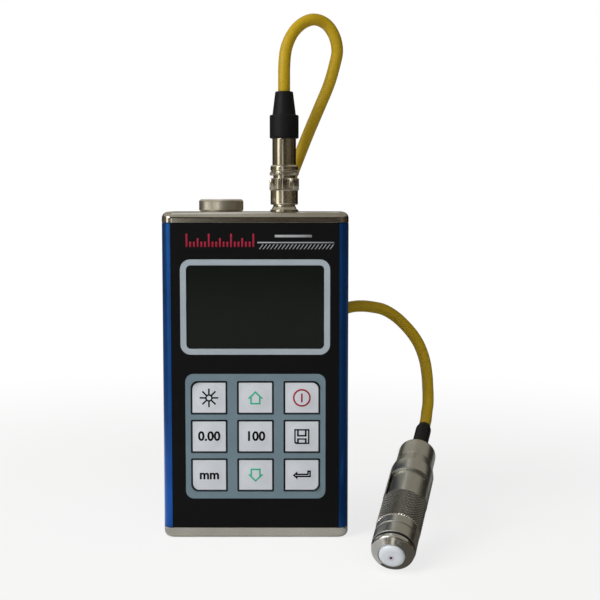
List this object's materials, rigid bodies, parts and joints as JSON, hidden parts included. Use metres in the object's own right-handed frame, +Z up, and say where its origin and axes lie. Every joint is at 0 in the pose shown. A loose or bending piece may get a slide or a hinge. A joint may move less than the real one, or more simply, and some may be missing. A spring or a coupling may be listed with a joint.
{
  "type": "coating thickness gauge",
  "caption": "Handheld coating thickness gauge: blue extruded case with display and keypad, screw-in battery cap and a probe with a sprung tip on a short yellow cable.",
  "frame": {"origin": "middle of the underside of the bottom end cap, on the surface the gauge stands on", "axes": "+Z up along the case, +X to the right seen from the keypad, -Y out of the keypad"},
  "size_m": [0.1156, 0.0956, 0.217],
  "materials": {
    "case_blue": "satin blue anodising",
    "nickel": "satin nickel plate",
    "screw_steel": "satin",
    "film_black": "matt printed film",
    "print_pale": "matt print",
    "print_grey": "matt print",
    "key_grey": "embossed film",
    "circuit": "flexible film",
    "dome_steel": "bright",
    "lens": "polished, dark",
    "lcd": "unlit liquid crystal",
    "backlight": "diffuser",
    "board": "solder mask",
    "chip": "moulded",
    "tube_black": "moulded",
    "cell": "plain sleeve",
    "spring_steel": "drawn wire",
    "contact_brass": "stamped",
    "rubber_black": "moulded",
    "cable_yellow": "extruded jacket",
    "probe_steel": "turned",
    "grip_steel": "knurled",
    "nose_chrome": "polished",
    "tip_white": "turned white plastic",
    "pole": "hard pole",
    "copper": "wound wire"
  },
  "bodies": {
    "housing": {"case_extrusion": "case_blue", "top_cap": "nickel", "bottom_cap": "nickel", "top_cap_screws": "screw_steel", "bottom_cap_screws": "screw_steel", "front_film": "film_black", "window_border": "print_pale", "keypad_sheet": "print_grey", "membrane_circuit": "circuit", "key_domes": "dome_steel", "display_lens": "lens", "lcd_panel": "lcd", "lcd_frame": "chip", "backlight": "backlight", "main_board": "board", "board_parts": "chip", "battery_tube": "tube_black", "battery_cells": "cell", "tube_spring": "spring_steel", "probe_socket": "nickel", "socket_insert": "chip", "socket_nut": "nickel", "plug_shell": "nickel", "plug_insert": "chip", "plug_back_nut": "nickel", "plug_boot": "rubber_black", "probe_cable": "cable_yellow", "probe_boot": "rubber_black", "probe_rear_cap": "probe_steel", "guide_sleeve": "probe_steel", "core_tube": "probe_steel", "probe_spring": "spring_steel", "knurled_sleeve": "grip_steel", "front_ring": "nose_chrome", "nose_seal": "rubber_black", "nose_cone": "nose_chrome"},
    "key_backlight": {"key_backlight": "key_grey"},
    "key_up": {"key_up": "key_grey"},
    "key_power": {"key_power": "key_grey"},
    "key_zero": {"key_zero": "key_grey"},
    "key_calibrate": {"key_calibrate": "key_grey"},
    "key_save": {"key_save": "key_grey"},
    "key_unit": {"key_unit": "key_grey"},
    "key_down": {"key_down": "key_grey"},
    "key_enter": {"key_enter": "key_grey"},
    "battery_contact": {"battery_contact": "contact_brass"},
    "battery_cap": {"battery_cap": "nickel"},
    "coupling_sleeve": {"plug_sleeve": "nickel"},
    "sensor_tip": {"probe_tip": "tip_white", "probe_pole": "pole", "sensor_coil": "copper", "probe_plunger": "probe_steel"}
  },
  "joints": [
    {"name": "press_backlight", "type": "slide", "parent": "housing", "child": "key_backlight", "axis": [0, 1, 0], "range_m": [0, 0.0004], "stiffness_N_per_m": 800},
    {"name": "press_up", "type": "slide", "parent": "housing", "child": "key_up", "axis": [0, 1, 0], "range_m": [0, 0.0004], "stiffness_N_per_m": 800},
    {"name": "press_power", "type": "slide", "parent": "housing", "child": "key_power", "axis": [0, 1, 0], "range_m": [0, 0.0004], "stiffness_N_per_m": 800},
    {"name": "press_zero", "type": "slide", "parent": "housing", "child": "key_zero", "axis": [0, 1, 0], "range_m": [0, 0.0004], "stiffness_N_per_m": 800},
    {"name": "press_calibrate", "type": "slide", "parent": "housing", "child": "key_calibrate", "axis": [0, 1, 0], "range_m": [0, 0.0004], "stiffness_N_per_m": 800},
    {"name": "press_save", "type": "slide", "parent": "housing", "child": "key_save", "axis": [0, 1, 0], "range_m": [0, 0.0004], "stiffness_N_per_m": 800},
    {"name": "press_unit", "type": "slide", "parent": "housing", "child": "key_unit", "axis": [0, 1, 0], "range_m": [0, 0.0004], "stiffness_N_per_m": 800},
    {"name": "press_down", "type": "slide", "parent": "housing", "child": "key_down", "axis": [0, 1, 0], "range_m": [0, 0.0004], "stiffness_N_per_m": 800},
    {"name": "press_enter", "type": "slide", "parent": "housing", "child": "key_enter", "axis": [0, 1, 0], "range_m": [0, 0.0004], "stiffness_N_per_m": 800},
    {"name": "cap_rise", "type": "slide", "parent": "housing", "child": "battery_contact", "axis": [0, 0, 1], "range_m": [0, 0.0042]},
    {"name": "cap_turn", "type": "hinge", "parent": "battery_contact", "child": "battery_cap", "pos_m": [-0.0148, 0.0036, 0.1342], "axis": [0, 0, 1], "range_deg": [0, 1080]},
    {"name": "sleeve_pull", "type": "slide", "parent": "housing", "child": "coupling_sleeve", "axis": [0, 0, 1], "range_m": [0, 0.001], "stiffness_N_per_m": 1500},
    {"name": "tip_press", "type": "slide", "parent": "housing", "child": "sensor_tip", "axis": [0.2305, 0.8912, 0.3907], "range_m": [0, 0.0012], "stiffness_N_per_m": 900, "deforming": ["probe_spring"]}
  ],
  "couplings": [
    {"joint": "cap_rise", "follows": "cap_turn", "m_per_rad": 0.00022282}
  ]
}
